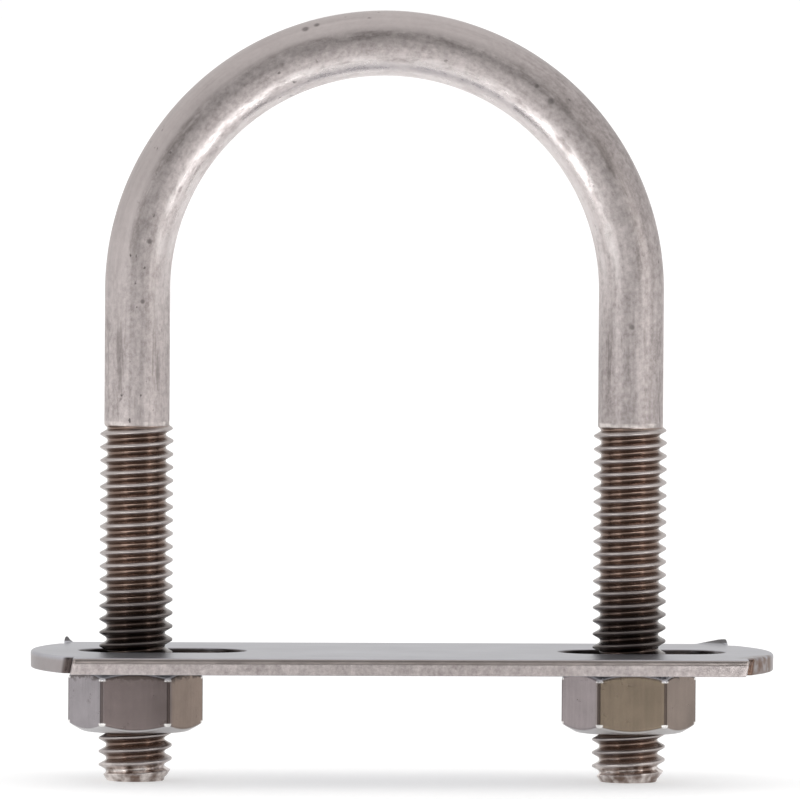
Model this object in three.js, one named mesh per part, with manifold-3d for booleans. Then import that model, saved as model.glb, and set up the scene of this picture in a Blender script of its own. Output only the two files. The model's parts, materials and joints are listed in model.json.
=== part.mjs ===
// A stainless steel U-bolt with its slotted clamp plate and two hex nuts.
// The rod is bent to a half circle with two straight legs, and each leg carries a rolled right-hand thread.
// The legs pass through the plate's slots, and a nut under the plate on each leg draws the bow down.
// Millimetres, +Z up. The origin is on the plate's upper face, midway between the legs.
// X runs from leg to leg, and Y runs through the bow. The front is the -Y side.

import * as THREE from "three";
import { mergeVertices } from "three/addons/utils/BufferGeometryUtils.js";
import Module from "manifold-3d";

const wasm = await Module();
wasm.setup();

// ---- The rod -------------------------------------------------------------------------------------
const rodDiameter = 6.95; // bow and shanks: the bare blank that the thread is rolled on
const legSpacing = 52.7; // between the axes of the legs
const legLength = 52.4; // from the centre of the bow to the ends of the legs
const threadLength = 38.2; // from the end of a leg to the bare shank

// ---- The thread: 18 to the inch, rolled, so it stands above the blank and sinks into it -----------
const pitch = 25.4 / 18;
const crestRise = 0.45; // crest above the blank
const rootDepth = 0.35; // root below the blank
const crestFlat = 0.18; // width of the crest along the axis
const flankAngle = THREE.MathUtils.degToRad(30);
const crestAtZero = THREE.MathUtils.degToRad(58); // where round a leg the crest crosses the plate's upper face
const threadRunout = 1.3; // length over which the thread fades into the shank
const legEndBevel = 0.8; // length of the bevel on the cut end of a leg
const threadClearance = 0.18; // radial, between a leg and a nut

// ---- The nuts ------------------------------------------------------------------------------------
const nutHeight = 6.75;
const nutWall = 2.325; // from the thread's crest to a flat
const nutCornerRadius = 0.4;
const nutChamferInset = 0.35; // from a flat to the circle where the chamfer meets an end face
const nutChamferAngle = THREE.MathUtils.degToRad(30);
const nutCountersink = 0.45; // depth of the cone that opens each end of the bore
const nutSeatGap = 0.05; // between a nut and the plate that it holds up
const nutProtrusion = 5.3; // how far a leg stands out below its nut
const nutAngles = { left: -2, right: 0 }; // degrees that each nut is turned from square with the plate

// ---- The plate -----------------------------------------------------------------------------------
const plateThickness = 1.8;
const plateWidth = 28.6;
const plateShift = 2.1; // how far the plate sits towards +X of the middle of the legs
const endRadius = 22; // the rounded ends, seen from above
const endMargin = 5.15; // from the end of a slot to the tip of the plate
const shoulderSetback = 3.85; // from the tip to the shoulder where the rounded end starts
const reliefRadius = 0.6; // the small notch at each shoulder
const slotSideClearance = 0.3; // from a leg's crest to the side of its slot
const slotTravel = 9.35; // how far a leg could move along its slot
const slotSetIn = 0.75; // how far each slot's middle is inside its leg's nominal place

// ---- Fineness of the faceted surfaces ------------------------------------------------------------
const threadSides = 16;
const rodSides = 16;
const bowSteps = 36;
const arcSteps = 8;
const weld = 0.5; // how far solids that become one piece reach into each other
const hair = 0.01; // how far a joined surface stays inside the one that covers it
const spareTurns = 2; // of thread, past each end of the stretch that is kept

// ---- Sizes that follow ---------------------------------------------------------------------------
const rodRadius = rodDiameter / 2;
const crestRadius = rodRadius + crestRise;
const rootRadius = rodRadius - rootDepth;
const bowRadius = legSpacing / 2;

const nutTop = -plateThickness - nutSeatGap;
const nutBottom = nutTop - nutHeight;
const legEnd = nutBottom - nutProtrusion;
const bowCentre = legEnd + legLength;
const threadTop = legEnd + threadLength;

const acrossFlats = 2 * (crestRadius + nutWall);
const slotWidth = 2 * (crestRadius + slotSideClearance);
const slotLength = slotWidth + slotTravel;
const slotSpacing = legSpacing - 2 * slotSetIn;
const plateLength = slotSpacing + slotLength + 2 * endMargin;

// ---- Helpers -------------------------------------------------------------------------------------

// A closed geometry as a solid that can be joined and cut.
function solidOf(geometry) {
  const bare = geometry.index ? geometry.toNonIndexed() : geometry;
  bare.deleteAttribute("normal");
  bare.deleteAttribute("uv");
  const merged = mergeVertices(bare, 1e-4);
  return new wasm.Manifold(
    new wasm.Mesh({
      numProp: 3,
      vertProperties: merged.attributes.position.array,
      triVerts: new Uint32Array(merged.index.array),
    }),
  );
}

// A solid as a flat-shaded geometry.
function geometryOf(solid) {
  const mesh = solid.getMesh();
  const geometry = new THREE.BufferGeometry();
  geometry.setAttribute("position", new THREE.BufferAttribute(mesh.vertProperties, 3));
  geometry.setIndex(new THREE.BufferAttribute(mesh.triVerts, 1));
  const flat = geometry.toNonIndexed();
  flat.computeVertexNormals();
  return flat;
}

// A turned solid round an upright axis at x, from [radius, height] points listed from the bottom up.
function turned(points, sides, x = 0) {
  const profile = points.map(([radius, height]) => new THREE.Vector2(radius, height));
  return solidOf(new THREE.LatheGeometry(profile, sides).rotateX(Math.PI / 2).translate(x, 0, 0));
}

// A solid of the given outline, with its lower face at z = bottom.
function extruded(outline, height, bottom) {
  const settings = { depth: height, bevelEnabled: false, curveSegments: arcSteps };
  return solidOf(new THREE.ExtrudeGeometry(outline, settings).translate(0, 0, bottom));
}

// ---- Thread --------------------------------------------------------------------------------------

// A threaded rod round the upright axis at x. Its surface is a grid that winds up as a helix: a column
// for each angle, and a row for each corner of the thread form, so a turn ends one pitch above its start.
// It reaches past bottom and top by more than a pitch, with ragged ends that are always cut off.
// growth is added to every radius.
function threadedRod(x, bottom, top, growth) {
  const flankWidth = (crestRise + rootDepth) * Math.tan(flankAngle);
  const form = [
    [crestRadius, -crestFlat / 2],
    [crestRadius, crestFlat / 2],
    [rootRadius, crestFlat / 2 + flankWidth],
    [rootRadius, pitch - crestFlat / 2 - flankWidth],
  ];
  const crestHeight = (-crestAtZero / (2 * Math.PI)) * pitch; // of one crest, on the +X side
  const firstTurn = Math.floor((bottom - crestHeight) / pitch) - spareTurns;
  const turns = Math.ceil((top - crestHeight) / pitch) + spareTurns - firstTurn;
  const rows = form.length * turns;

  const positions = [];
  const indexOf = new Map();
  const addVertex = (column, row) => {
    const [radius, height] = form[row % form.length];
    const turn = firstTurn + Math.floor(row / form.length) + column / threadSides;
    const angle = (2 * Math.PI * column) / threadSides;
    indexOf.set(`${column},${row}`, positions.length / 3);
    positions.push(
      x + (radius + growth) * Math.cos(angle),
      (radius + growth) * Math.sin(angle),
      crestHeight + turn * pitch + height,
    );
  };
  for (let column = 0; column < threadSides; column++) {
    const extra = column === 0 ? form.length : 0;
    for (let row = 0; row <= rows + extra; row++) addVertex(column, row);
  }
  // Past the last column, the grid goes on in the first one, a whole turn higher.
  const vertex = (column, row) =>
    column < threadSides ? indexOf.get(`${column},${row}`) : indexOf.get(`0,${row + form.length}`);

  const triangles = [];
  for (let column = 0; column < threadSides; column++) {
    for (let row = 0; row < rows; row++) {
      const a = vertex(column, row);
      const b = vertex(column + 1, row);
      const c = vertex(column + 1, row + 1);
      const d = vertex(column, row + 1);
      triangles.push(a, b, c, a, c, d);
    }
  }
  // Each end is a fan from a point on the axis to the rim, which climbs a pitch and steps back down it.
  for (const [row, downwards] of [[0, true], [rows, false]]) {
    const rim = [];
    for (let column = 0; column < threadSides; column++) rim.push(vertex(column, row));
    for (let step = form.length; step > 0; step--) rim.push(vertex(0, row + step));
    const middle = positions.length / 3;
    positions.push(x, 0, crestHeight + (firstTurn + row / form.length + 0.5) * pitch);
    rim.forEach((from, i) => {
      const to = rim[(i + 1) % rim.length];
      triangles.push(...(downwards ? [to, from, middle] : [from, to, middle]));
    });
  }
  const geometry = new THREE.BufferGeometry();
  geometry.setAttribute("position", new THREE.Float32BufferAttribute(positions, 3));
  geometry.setIndex(triangles);
  return solidOf(geometry);
}

// ---- U-bolt --------------------------------------------------------------------------------------

// The rod's centre line: up the left leg, over the bow and down the right leg.
class RodPath extends THREE.Curve {
  getPoint(t, target = new THREE.Vector3()) {
    const straight = bowCentre - threadTop;
    const arc = Math.PI * bowRadius;
    const along = t * (2 * straight + arc);
    if (along < straight) return target.set(-bowRadius, 0, threadTop + along);
    if (along > straight + arc) return target.set(bowRadius, 0, bowCentre - (along - straight - arc));
    const angle = Math.PI - (along - straight) / bowRadius;
    return target.set(bowRadius * Math.cos(angle), 0, bowCentre + bowRadius * Math.sin(angle));
  }
}

function bow() {
  const section = new THREE.Shape().absarc(0, 0, rodRadius, 0, 2 * Math.PI);
  const settings = {
    steps: bowSteps,
    extrudePath: new RodPath(),
    bevelEnabled: false,
    curveSegments: rodSides / 2,
  };
  return solidOf(new THREE.ExtrudeGeometry(section, settings));
}

// A threaded leg end. The thread starts from a bevel at the cut end and fades out at the shank, where
// its crests come down and its roots come up to the blank.
function threadedLeg(x) {
  const insideRod = rodRadius * Math.cos(Math.PI / rodSides) - hair;
  const runoutStart = threadTop - threadRunout;
  const limits = turned(
    [
      [0, legEnd],
      [crestRadius - legEndBevel, legEnd],
      [crestRadius + weld, legEnd + legEndBevel + weld],
      [crestRadius + weld, runoutStart - weld],
      [crestRadius, runoutStart],
      [insideRod, threadTop],
      [insideRod, threadTop + weld],
      [0, threadTop + weld],
    ],
    rodSides,
    x,
  );
  const core = turned(
    [
      [0, runoutStart - weld],
      [rootRadius - hair, runoutStart - weld],
      [rootRadius, runoutStart],
      [insideRod, threadTop],
      [insideRod, threadTop + weld],
      [0, threadTop + weld],
    ],
    rodSides,
    x,
  );
  return threadedRod(x, legEnd, threadTop + weld, 0).intersect(limits).add(core);
}

function uBolt() {
  return bow().add(threadedLeg(-bowRadius)).add(threadedLeg(bowRadius));
}

// ---- Nut -----------------------------------------------------------------------------------------

function hexOutline() {
  const outline = new THREE.Shape();
  const arcCentre = (acrossFlats / 2 - nutCornerRadius) / Math.cos(Math.PI / 6);
  for (let corner = 0; corner < 6; corner++) {
    const angle = (corner * Math.PI) / 3;
    const x = arcCentre * Math.cos(angle);
    const y = arcCentre * Math.sin(angle);
    outline.absarc(x, y, nutCornerRadius, angle - Math.PI / 6, angle + Math.PI / 6);
  }
  return outline;
}

// The hexagon has a flat towards the front before it is turned. Its thread is cut where it stands on
// the leg, so the two are in mesh.
function nut(x, degrees) {
  const faceRadius = acrossFlats / 2 - nutChamferInset;
  const beyond = acrossFlats; // any radius outside the corners
  const drop = (beyond - faceRadius) * Math.tan(nutChamferAngle);
  const chamfers = turned(
    [
      [0, nutBottom - weld],
      [faceRadius - weld / Math.tan(nutChamferAngle), nutBottom - weld],
      [beyond, nutBottom + drop],
      [beyond, nutTop - drop],
      [faceRadius - weld / Math.tan(nutChamferAngle), nutTop + weld],
      [0, nutTop + weld],
    ],
    2 * threadSides,
  );
  const body = extruded(hexOutline(), nutHeight, nutBottom).intersect(chamfers);
  const boreRadius = crestRadius + threadClearance;
  const mouth = boreRadius + weld;
  const countersinks = turned(
    [
      [0, nutBottom - weld],
      [mouth, nutBottom - weld],
      [boreRadius - nutCountersink, nutBottom + nutCountersink],
      [boreRadius - nutCountersink, nutTop - nutCountersink],
      [mouth, nutTop + weld],
      [0, nutTop + weld],
    ],
    threadSides,
    x,
  );
  const limits = turned(
    [
      [0, nutBottom - weld],
      [mouth, nutBottom - weld],
      [mouth, nutTop + weld],
      [0, nutTop + weld],
    ],
    threadSides,
    x,
  );
  const tap = threadedRod(x, nutBottom - weld, nutTop + weld, threadClearance).intersect(limits);
  return body.rotate([0, 0, degrees]).translate([x, 0, 0]).subtract(tap.add(countersinks));
}

// ---- Plate ---------------------------------------------------------------------------------------

// A quarter of the plate's outline, from the shoulder round its notch to the tip, drawn for +X and +Y
// and mirrored by the signs given.
function endPoints(sideX, sideY) {
  const arcCentre = plateLength / 2 - endRadius;
  const shoulder = plateLength / 2 - shoulderSetback;
  const reliefX = shoulder + reliefRadius;
  const reliefY = Math.sqrt(endRadius ** 2 - (reliefX - arcCentre) ** 2);
  const reliefEnd = Math.atan2(reliefY, reliefX - arcCentre) - Math.PI / 2;
  const points = [[shoulder, plateWidth / 2]];
  for (let i = 0; i <= arcSteps; i++) {
    const angle = Math.PI + ((Math.PI + reliefEnd) * i) / arcSteps;
    points.push([reliefX + reliefRadius * Math.cos(angle), reliefY + reliefRadius * Math.sin(angle)]);
  }
  const arcStart = Math.atan2(points.at(-1)[1], points.at(-1)[0] - arcCentre);
  for (let i = 1; i <= arcSteps; i++) {
    const angle = arcStart * (1 - i / arcSteps);
    points.push([arcCentre + endRadius * Math.cos(angle), endRadius * Math.sin(angle)]);
  }
  return points.map(([x, y]) => new THREE.Vector2(sideX * x, sideY * y));
}

function plateOutline() {
  const right = [...endPoints(1, -1), ...endPoints(1, 1).reverse().slice(1)];
  const left = [...endPoints(-1, 1), ...endPoints(-1, -1).reverse().slice(1)];
  const outline = new THREE.Shape([...right, ...left]);
  for (const side of [-1, 1]) {
    const middle = (side * slotSpacing) / 2;
    const half = slotTravel / 2;
    const slot = new THREE.Path();
    slot.absarc(middle + half, 0, slotWidth / 2, -Math.PI / 2, Math.PI / 2);
    slot.absarc(middle - half, 0, slotWidth / 2, Math.PI / 2, (3 * Math.PI) / 2);
    outline.holes.push(slot);
  }
  return outline;
}

function clampPlate() {
  return extruded(plateOutline(), plateThickness, -plateThickness).translate([plateShift, 0, 0]);
}

// ---- Assembly ------------------------------------------------------------------------------------

const group = new THREE.Group();

function addPiece(name, solid, finish) {
  const mesh = new THREE.Mesh(geometryOf(solid), new THREE.MeshStandardMaterial(finish));
  mesh.name = name;
  group.add(mesh);
}

addPiece("u_bolt", uBolt(), { color: 0xb0a8a6, roughness: 0.38, metalness: 1 });
addPiece("clamp_plate", clampPlate(), { color: 0xb4b3b8, roughness: 0.32, metalness: 1 });
for (const [name, side] of [["left", -1], ["right", 1]]) {
  const solid = nut(side * bowRadius, nutAngles[name]);
  addPiece(`nut_${name}`, solid, { color: 0x9a9390, roughness: 0.3, metalness: 1 });
}

export default group;
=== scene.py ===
"""A stainless steel U-bolt with a slotted clamp plate and two hex nuts, on a pale studio floor.

The bent rod with its rolled threads, and each nut, come from Geometry Nodes trees, because their shapes
follow a rule. The stamped plate is built from its outline and the section of its sheared edge.
Metres, +Z up. X runs from leg to leg and the front of the object is its -Y side.
"""

import json
import math

import bmesh
import bpy
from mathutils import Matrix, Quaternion, Vector, noise
from mathutils.geometry import delaunay_2d_cdt


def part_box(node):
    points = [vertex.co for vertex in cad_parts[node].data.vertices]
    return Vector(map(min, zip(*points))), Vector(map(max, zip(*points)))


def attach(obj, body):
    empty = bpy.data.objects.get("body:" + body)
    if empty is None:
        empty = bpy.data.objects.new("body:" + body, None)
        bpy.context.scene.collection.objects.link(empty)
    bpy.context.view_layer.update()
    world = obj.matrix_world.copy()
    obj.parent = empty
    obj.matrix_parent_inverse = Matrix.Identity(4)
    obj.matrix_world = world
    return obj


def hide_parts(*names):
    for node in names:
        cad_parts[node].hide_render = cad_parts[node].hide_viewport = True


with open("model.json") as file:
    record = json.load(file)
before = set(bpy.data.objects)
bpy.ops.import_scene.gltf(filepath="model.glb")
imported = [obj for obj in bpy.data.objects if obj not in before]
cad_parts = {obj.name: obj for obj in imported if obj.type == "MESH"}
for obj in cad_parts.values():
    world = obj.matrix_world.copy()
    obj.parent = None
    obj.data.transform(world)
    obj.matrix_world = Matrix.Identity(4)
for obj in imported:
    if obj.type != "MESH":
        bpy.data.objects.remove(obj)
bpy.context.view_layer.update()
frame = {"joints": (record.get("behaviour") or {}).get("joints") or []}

MM = 0.001
TURN = 2 * math.pi
WELD = 0.001 * MM  # points nearer to each other than this become one

# ---- Sizes taken from the frame -------------------------------------------------------------------

joints = {joint["name"]: joint for joint in frame["joints"]}
plate_low, plate_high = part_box("clamp_plate")
bolt_low, bolt_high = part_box("u_bolt")
nut_low, nut_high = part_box("nut_right")

BOW_RADIUS = joints["nut_right_turn"]["pos_m"][0]
LEG_END = bolt_low.z
PLATE_TOP = plate_high.z
PLATE_BOTTOM = plate_low.z
PLATE_MIDDLE = (plate_low.x + plate_high.x) / 2
PLATE_LENGTH = plate_high.x - plate_low.x
PLATE_WIDTH = plate_high.y - plate_low.y
NUT_LOW = nut_low.z
NUT_HIGH = nut_high.z
NUT_FLAT = nut_high.y  # from the axis to a flat: the right-hand nut stands square

# ---- Sizes of the rod and its rolled thread ----------------------------------------------------------

ROD_RADIUS = 3.475 * MM
CREST_RADIUS = 3.925 * MM
ROOT_RADIUS = 3.125 * MM
THREAD_LENGTH = 38.2 * MM
THREAD_TOP = LEG_END + THREAD_LENGTH
BOW_CENTRE = bolt_high.z - BOW_RADIUS - ROD_RADIUS
PITCH = 25.4 / 18 * MM
CREST_TURN = 58 / 360  # where round a leg, in turns from +X, the crest crosses the plate's upper face
CREST_FLAT = 0.16 * MM
FLANK_ANGLE = math.radians(30)  # from square to the leg's axis
ROOT_ROUNDING = 0.26 * MM
CREST_ROUNDING = 0.1 * MM
NUT_CLEARANCE = 0.12 * MM  # between the nut's thread and the leg's, along the radius

# ---- Sizes of the plate -------------------------------------------------------------------------------

END_RADIUS = 22 * MM
SHOULDER_SETBACK = 3.85 * MM
RELIEF_RADIUS = 0.42 * MM
SLOT_HALF_WIDTH = 4.225 * MM
SLOT_TRAVEL = 9.35 * MM
SLOT_SPACING = 51.2 * MM


# ---- Node trees written as expressions ----------------------------------------------------------------


class Tree:
    """A node tree that is being filled in."""

    def __init__(self, nodes_tree):
        self.tree = nodes_tree
        nodes_tree.nodes.clear()

    def add(self, kind, settings=None, values=None, output=0):
        """Adds a node. Its settings are set first, then its sockets get their values or links."""
        node = self.tree.nodes.new(kind)
        for name, value in (settings or {}).items():
            setattr(node, name, value)
        entries = values.items() if isinstance(values, dict) else enumerate(values or [])
        for key, value in entries:
            if value is None:
                continue
            if isinstance(value, (list, tuple)) and value and isinstance(value[0], Flow):
                for one in value:
                    self.tree.links.new(one.socket, node.inputs[key])
            elif isinstance(value, Flow):
                self.tree.links.new(value.socket, node.inputs[key])
            else:
                node.inputs[key].default_value = value
        return Flow(self, node.outputs[output] if node.outputs else None, node)

    def vector(self, x, y, z):
        return self.add("ShaderNodeCombineXYZ", values=[x, y, z])

    def blend(self, factor, a, b):
        """A colour that goes from a to b as factor goes from 0 to 1."""
        a, b = (part if isinstance(part, Flow) else (*part, 1) for part in (a, b))
        settings = {"data_type": "RGBA", "clamp_factor": True}
        return self.add("ShaderNodeMix", settings, {0: factor, 6: a, 7: b}, output=2)

    def noise(self, vector, scale, detail=4, roughness=0.55, seed=0):
        """Smooth noise from 0 to 1, centred on 0.5. seed picks one of its endless variants."""
        settings = {"noise_dimensions": "4D"}
        values = {"Vector": vector, "W": seed, "Scale": scale, "Detail": detail, "Roughness": roughness}
        return self.add("ShaderNodeTexNoise", settings, values)


class Flow:
    """A value that runs through a tree. Operators on it add the Math nodes that work it out."""

    def __init__(self, tree, socket, node=None):
        self.tree, self.socket, self.node = tree, socket, node

    def math(self, operation, *others):
        return self.tree.add("ShaderNodeMath", {"operation": operation}, [self, *others])

    def __add__(self, other):
        return self.math("ADD", other)

    def __sub__(self, other):
        return self.math("SUBTRACT", other)

    def __mul__(self, other):
        return self.math("MULTIPLY", other)

    def __truediv__(self, other):
        return self.math("DIVIDE", other)

    def __rsub__(self, other):
        return self.tree.add("ShaderNodeMath", {"operation": "SUBTRACT"}, [other, self])

    def __rtruediv__(self, other):
        return self.tree.add("ShaderNodeMath", {"operation": "DIVIDE"}, [other, self])

    def __neg__(self):
        return self.math("MULTIPLY", -1)

    __radd__ = __add__
    __rmul__ = __mul__

    def sin(self):
        return self.math("SINE")

    def cos(self):
        return self.math("COSINE")

    def floor(self):
        return self.math("FLOOR")

    def ceil(self):
        return self.math("CEIL")

    def fract(self):
        return self.math("FRACT")

    def abs(self):
        return self.math("ABSOLUTE")

    def power(self, exponent):
        return self.math("POWER", exponent)

    def at_least(self, other):
        return self.math("MAXIMUM", other)

    def at_most(self, other):
        return self.math("MINIMUM", other)

    def soft_at_least(self, other, softness):
        return self.math("SMOOTH_MAX", other, softness)

    def soft_at_most(self, other, softness):
        return self.math("SMOOTH_MIN", other, softness)

    def above(self, other):
        """1 where this is more than other, and 0 elsewhere."""
        return self.math("GREATER_THAN", other)

    def ramp(self, start, end):
        """Goes smoothly from 0 at start to 1 at end."""
        settings = {"interpolation_type": "SMOOTHSTEP"}
        return self.tree.add("ShaderNodeMapRange", settings, {0: self, 1: start, 2: end})

    def to(self, start, end):
        """This value from 0 to 1, as a value from start to end."""
        return start + self * (end - start)

    def parts(self):
        """The x, y and z of a vector."""
        node = self.tree.add("ShaderNodeSeparateXYZ", values=[self]).node
        return [Flow(self.tree, socket) for socket in node.outputs]


# ---- Finishing a mesh ---------------------------------------------------------------------------------


def keep_piece(name, mesh, material, body, node):
    """Makes the finished object, hangs it on the empty of the body that it rides on, and hides the solid it
    stands for.
    """
    cleaner = bmesh.new()
    cleaner.from_mesh(mesh)
    bmesh.ops.remove_doubles(cleaner, verts=cleaner.verts, dist=WELD / 2)
    bmesh.ops.dissolve_degenerate(cleaner, dist=WELD / 2, edges=cleaner.edges)
    bmesh.ops.recalc_face_normals(cleaner, faces=cleaner.faces)
    cleaner.to_mesh(mesh)
    cleaner.free()
    mesh.name = name
    mesh.materials.clear()
    mesh.materials.append(material)
    piece = bpy.data.objects.new(name, mesh)
    bpy.context.scene.collection.objects.link(piece)
    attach(piece, body)
    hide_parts(node)


def grown_mesh(group, sizes, material):
    """Runs a Geometry Nodes tree with the named sizes and returns the plain mesh that it makes."""
    seedling = bpy.data.objects.new("seedling", bpy.data.meshes.new("seedling"))
    bpy.context.scene.collection.objects.link(seedling)
    modifier = seedling.modifiers.new("grow", "NODES")
    modifier.node_group = group
    sockets = {item.name: item.identifier for item in group.interface.items_tree if item.in_out == "INPUT"}
    for name, value in {**sizes, "Material": material}.items():
        modifier[sockets[name]] = value
    bpy.context.view_layer.update()
    graph = bpy.context.evaluated_depsgraph_get()
    mesh = bpy.data.meshes.new_from_object(seedling.evaluated_get(graph))
    seedling.modifiers.remove(modifier)
    bpy.data.objects.remove(seedling)
    return mesh


def new_group(name, sizes):
    """A geometry tree with a named number input for each size, and its material input."""
    group = bpy.data.node_groups.new(name, "GeometryNodeTree")
    group.interface.new_socket("Geometry", in_out="OUTPUT", socket_type="NodeSocketGeometry")
    for size in sizes:
        kind = "NodeSocketInt" if isinstance(sizes[size], int) else "NodeSocketFloat"
        group.interface.new_socket(size, in_out="INPUT", socket_type=kind)
    group.interface.new_socket("Material", in_out="INPUT", socket_type="NodeSocketMaterial")
    tree = Tree(group)
    source = tree.add("NodeGroupInput").node
    return tree, {socket.name: Flow(tree, socket) for socket in source.outputs if socket.name}


def finish_group(tree, geometry, material):
    """Welds the parts of the surface into one closed skin and gives it its material."""
    welded = tree.add("GeometryNodeMergeByDistance", values={"Geometry": geometry, "Distance": WELD})
    smooth = tree.add("GeometryNodeSetShadeSmooth", values={"Geometry": welded})
    real = tree.add("GeometryNodeRealizeInstances", values={"Geometry": smooth})
    painted = tree.add("GeometryNodeSetMaterial", values={"Geometry": real, "Material": material})
    tree.add("NodeGroupOutput", values=[painted])


def sheet_of_rows(tree, rows, sides):
    """A flat grid to be wrapped into a surface: how far along its rows and round its sides each point is."""
    values = {"Size X": 1.0, "Size Y": 1.0, "Vertices X": rows + 1, "Vertices Y": sides + 1}
    grid = tree.add("GeometryNodeMeshGrid", values=values)
    x, y, _ = tree.add("GeometryNodeInputPosition").parts()
    return grid, x + 0.5, y + 0.5


def placed(tree, geometry, x, y, z):
    values = {"Geometry": geometry, "Position": tree.vector(x, y, z)}
    return tree.add("GeometryNodeSetPosition", values=values)


# ---- Thread -------------------------------------------------------------------------------------------


def thread_radius(size, turns_up, growth):
    """The radius of the thread, turns_up being its height in turns above a crest."""
    from_crest = ((turns_up + 0.5).fract() - 0.5).abs() * size["Pitch"]
    drop = (from_crest - size["Crest flat"] / 2).at_least(0) / math.tan(FLANK_ANGLE)
    crest = size["Crest radius"] + growth
    root = size["Root radius"] + growth
    return (crest - drop).soft_at_least(root, ROOT_ROUNDING).soft_at_most(crest, CREST_ROUNDING)


def thread_rows(tree, size, bottom, top, spread=lambda around: around):
    """A grid whose rows wind up as a helix between two heights, where they are cut off square.
    Returns it with each point's height, turn round the axis and height in turns above a crest."""
    first = (bottom / size["Pitch"] + size["Crest turn"]).floor() - 1
    last = (top / size["Pitch"] + size["Crest turn"]).ceil()
    turns = last - first
    grid, along, around = sheet_of_rows(tree, turns * size["Rows per turn"], size["Sides"])
    turn = spread(around)
    wound = (first + along * turns + turn - size["Crest turn"]) * size["Pitch"]
    height = wound.at_least(bottom).at_most(top)
    return grid, height, turn, height / size["Pitch"] + size["Crest turn"] - turn


# ---- The bolt -----------------------------------------------------------------------------------------

BOLT_SIZES = {
    "Bow radius": BOW_RADIUS,
    "Bow centre": BOW_CENTRE,
    "Rod radius": ROD_RADIUS,
    "Leg end": LEG_END,
    "Thread top": THREAD_TOP,
    "Pitch": PITCH,
    "Crest radius": CREST_RADIUS,
    "Root radius": ROOT_RADIUS,
    "Crest flat": CREST_FLAT,
    "Crest turn": CREST_TURN,
    "Run-out": 0.75 * MM,
    "End radius": 3.02 * MM,
    "End slope": 0.62,
    "End dimple": 0.45 * MM,
    "Wear": 0.055 * MM,
    "Rows per turn": 16,
    "Sides": 64,
    "Shank rows": 170,
    "Seed": 4.7,
}


END_FACE_ROWS = 10
BEVEL_SOFTNESS = 0.06 * MM


def threaded_leg(tree, size):
    """The threaded leg at the origin, from its cut end up to the bare shank."""
    grid, height, around, turns_up = thread_rows(tree, size, size["Leg end"], size["Thread top"])
    thread = thread_radius(size, turns_up, 0)
    cone = size["End radius"] + (height - size["Leg end"]) * size["End slope"]
    bevelled = thread.soft_at_most(cone, BEVEL_SOFTNESS).at_most(cone)
    fade = height.ramp(size["Thread top"] - size["Run-out"], size["Thread top"] - 0.08 * MM)
    radius = bevelled + fade * (size["Rod radius"] - bevelled)
    angle = around * TURN
    wall = placed(tree, grid, radius * angle.cos(), radius * angle.sin(), height)
    wall = tree.add("GeometryNodeFlipFaces", values=[wall])

    face, inwards, round_face = sheet_of_rows(tree, END_FACE_ROWS, size["Sides"])
    face_radius = size["End radius"] * (1 - inwards)
    dimple = size["End dimple"] * inwards.ramp(0.25, 1)
    angle = round_face * TURN
    end = placed(tree, face, face_radius * angle.cos(), face_radius * angle.sin(), size["Leg end"] + dimple)
    return tree.add("GeometryNodeJoinGeometry", values=[[wall, end]])


def bent_shank(tree, size):
    """The bare rod, from the top of one thread over the bow to the top of the other."""
    grid, along, around = sheet_of_rows(tree, size["Shank rows"], size["Sides"])
    straight = size["Bow centre"] - size["Thread top"]
    arc = size["Bow radius"] * math.pi
    run = along * (arc + 2 * straight)
    rise = run.at_most(straight)
    fall = (run - straight - arc).at_least(0)
    bend = ((run - straight) / size["Bow radius"]).at_least(0).at_most(math.pi)
    angle = around * TURN
    outwards = size["Rod radius"] * angle.cos()
    x = -bend.cos() * (size["Bow radius"] + outwards)
    z = size["Bow centre"] - straight + rise - fall + bend.sin() * (size["Bow radius"] + outwards)
    return placed(tree, grid, x, size["Rod radius"] * angle.sin(), z)


def straight_bar(tree, size):
    """Where each point was on the straight bar before it was bent: out of the bow, across it, along it."""
    x, y, z = tree.add("GeometryNodeInputPosition").parts()
    over = (z - size["Bow centre"]).at_least(0)
    outwards = (x * x + over * over).power(0.5) - size["Bow radius"]
    bend = over.math("ARCTAN2", -x)
    climb = z.at_most(size["Bow centre"]) - size["Leg end"]
    leg = size["Bow centre"] - size["Leg end"]
    half = leg + size["Bow radius"] * (math.pi / 2)
    on_right = x.above(0)
    in_bow = z.above(size["Bow centre"])
    on_leg = climb + on_right * (2 * half - 2 * climb)
    run = on_leg + in_bow * (leg + bend * size["Bow radius"] - on_leg)
    return tree.vector(outwards, y, run), outwards, y


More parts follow.
